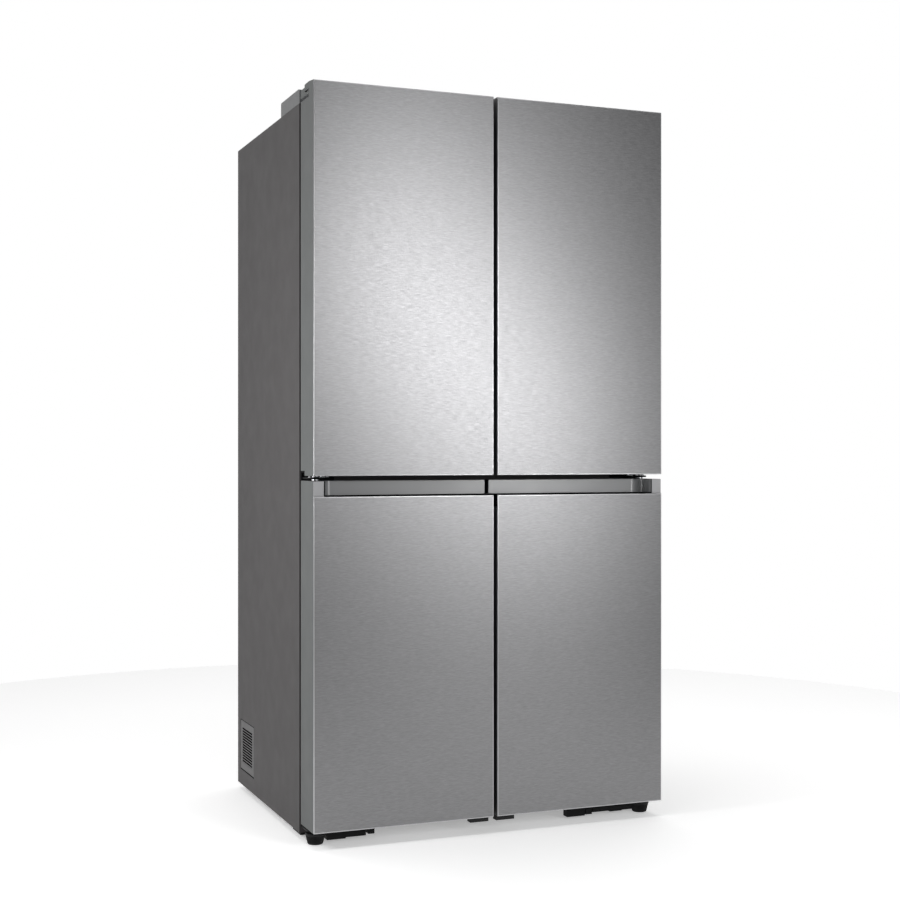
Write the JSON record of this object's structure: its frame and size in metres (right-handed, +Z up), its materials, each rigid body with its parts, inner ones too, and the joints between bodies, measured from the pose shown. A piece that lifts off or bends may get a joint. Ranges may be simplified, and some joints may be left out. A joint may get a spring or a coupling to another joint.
{
  "type": "french door refrigerator",
  "caption": "Free-standing refrigerator with two fridge doors above and two doors below over a freezer and a convertible zone, with recessed grips.",
  "frame": {"origin": "middle of the footprint, at floor level", "axes": "+Z up, -Y towards the doors, +X to the right of someone facing the doors"},
  "size_m": [0.912, 0.723, 1.78],
  "materials": {
    "cabinet_steel": "satin grey enamel",
    "vent_plastic": "matt",
    "black_steel": "black powder coat",
    "compressor_steel": "black enamel",
    "foam": "foamed plastic, matt",
    "liner_white": "semi-gloss",
    "duct_white": "satin",
    "shelf_glass": "clear",
    "clear_plastic": "clear",
    "light_diffuser": "frosted",
    "cover_plastic": "fine grain",
    "zinc_steel": "zinc plated",
    "black_plastic": "matt",
    "fan_plastic": "matt",
    "inlet_plastic": "matt",
    "flap_plastic": "satin",
    "stainless": "horizontally brushed",
    "door_grey": "grey sheet and caps over a foam core",
    "seal_rubber": "matt",
    "grip_plastic": "satin"
  },
  "bodies": {
    "cabinet": {"side_panel_left": "cabinet_steel", "side_panel_right": "cabinet_steel", "top_panel": "cabinet_steel", "back_panel": "cabinet_steel", "machine_cover": "cabinet_steel", "cross_mullion": "cabinet_steel", "post_mullion": "cabinet_steel", "side_vent": "vent_plastic", "base_pan": "black_steel", "bottom_hinge_left": "black_steel", "bottom_hinge_right": "black_steel", "middle_hinge_left": "black_steel", "middle_hinge_right": "black_steel", "compressor": "compressor_steel", "cabinet_foam": "foam", "fridge_liner": "liner_white", "freezer_liner": "liner_white", "flex_liner": "liner_white", "duct_cover": "duct_white", "crisper_shelf": "shelf_glass", "middle_shelf": "shelf_glass", "top_shelf": "shelf_glass", "freezer_shelf": "shelf_glass", "flex_shelf": "shelf_glass", "fridge_light": "light_diffuser", "hinge_cover_left": "cover_plastic", "hinge_cover_right": "cover_plastic", "top_hinge_left": "zinc_steel", "top_hinge_right": "zinc_steel", "power_inlet": "inlet_plastic"},
    "crisper_left": {"crisper_left": "clear_plastic"},
    "crisper_right": {"crisper_right": "clear_plastic"},
    "freezer_drawer_lower": {"freezer_drawer_lower": "clear_plastic"},
    "freezer_drawer_upper": {"freezer_drawer_upper": "clear_plastic"},
    "flex_drawer_lower": {"flex_drawer_lower": "clear_plastic"},
    "flex_drawer_upper": {"flex_drawer_upper": "clear_plastic"},
    "flap": {"flap_mullion": "flap_plastic"},
    "foot_left": {"foot_left": "black_plastic"},
    "foot_right": {"foot_right": "black_plastic"},
    "roller_left": {"roller_left": "black_plastic"},
    "roller_right": {"roller_right": "black_plastic"},
    "condenser_fan": {"condenser_fan": "fan_plastic"},
    "upper_left_door": {"upper_left_door_bin_lower": "clear_plastic", "upper_left_door_bin_upper": "clear_plastic", "upper_left_door_front": "stainless", "upper_left_door_body": "door_grey", "upper_left_door_gasket": "seal_rubber"},
    "upper_right_door": {"upper_right_door_bin_lower": "clear_plastic", "upper_right_door_bin_upper": "clear_plastic", "upper_right_door_front": "stainless", "upper_right_door_body": "door_grey", "upper_right_door_gasket": "seal_rubber"},
    "lower_left_door": {"lower_left_door_front": "stainless", "lower_left_door_body": "door_grey", "lower_left_door_gasket": "seal_rubber", "lower_left_door_grip": "grip_plastic"},
    "lower_right_door": {"lower_right_door_front": "stainless", "lower_right_door_body": "door_grey", "lower_right_door_gasket": "seal_rubber", "lower_right_door_grip": "grip_plastic"}
  },
  "joints": [
    {"name": "upper_left_door_hinge", "type": "hinge", "parent": "cabinet", "child": "upper_left_door", "pos_m": [-0.431, -0.2915, 1.319], "axis": [0, 0, -1], "range_deg": [0, 120]},
    {"name": "upper_right_door_hinge", "type": "hinge", "parent": "cabinet", "child": "upper_right_door", "pos_m": [0.431, -0.2915, 1.319], "axis": [0, 0, 1], "range_deg": [0, 120]},
    {"name": "lower_left_door_hinge", "type": "hinge", "parent": "cabinet", "child": "lower_left_door", "pos_m": [-0.431, -0.2915, 0.4455], "axis": [0, 0, -1], "range_deg": [0, 120]},
    {"name": "lower_right_door_hinge", "type": "hinge", "parent": "cabinet", "child": "lower_right_door", "pos_m": [0.431, -0.2915, 0.4455], "axis": [0, 0, 1], "range_deg": [0, 120]},
    {"name": "flap_hinge", "type": "hinge", "parent": "upper_left_door", "child": "flap", "pos_m": [-0.038, -0.23325, 1.3005], "axis": [0, 0, 1], "range_deg": [0, 90]},
    {"name": "crisper_left_slide", "type": "slide", "parent": "cabinet", "child": "crisper_left", "axis": [0, -1, 0], "range_m": [0, 0.06]},
    {"name": "crisper_right_slide", "type": "slide", "parent": "cabinet", "child": "crisper_right", "axis": [0, -1, 0], "range_m": [0, 0.06]},
    {"name": "freezer_drawer_lower_slide", "type": "slide", "parent": "cabinet", "child": "freezer_drawer_lower", "axis": [0, -1, 0], "range_m": [0, 0.06]},
    {"name": "freezer_drawer_upper_slide", "type": "slide", "parent": "cabinet", "child": "freezer_drawer_upper", "axis": [0, -1, 0], "range_m": [0, 0.06]},
    {"name": "flex_drawer_lower_slide", "type": "slide", "parent": "cabinet", "child": "flex_drawer_lower", "axis": [0, -1, 0], "range_m": [0, 0.06]},
    {"name": "flex_drawer_upper_slide", "type": "slide", "parent": "cabinet", "child": "flex_drawer_upper", "axis": [0, -1, 0], "range_m": [0, 0.06]},
    {"name": "foot_left_screw", "type": "hinge", "parent": "cabinet", "child": "foot_left", "pos_m": [-0.431, -0.2915, 0.013], "axis": [0, 0, 1], "continuous": true},
    {"name": "foot_right_screw", "type": "hinge", "parent": "cabinet", "child": "foot_right", "pos_m": [0.431, -0.2915, 0.013], "axis": [0, 0, 1], "continuous": true},
    {"name": "roller_left_axle", "type": "hinge", "parent": "cabinet", "child": "roller_left", "pos_m": [-0.386, 0.3015, 0.02], "axis": [1, 0, 0], "continuous": true},
    {"name": "roller_right_axle", "type": "hinge", "parent": "cabinet", "child": "roller_right", "pos_m": [0.386, 0.3015, 0.02], "axis": [1, 0, 0], "continuous": true},
    {"name": "condenser_fan_spin", "type": "hinge", "parent": "cabinet", "child": "condenser_fan", "pos_m": [0.02, 0.2415, 0.145], "axis": [1, 0, 0], "continuous": true}
  ],
  "couplings": [
    {"joint": "flap_hinge", "follows": "upper_left_door_hinge", "ratio": 0.75}
  ]
}
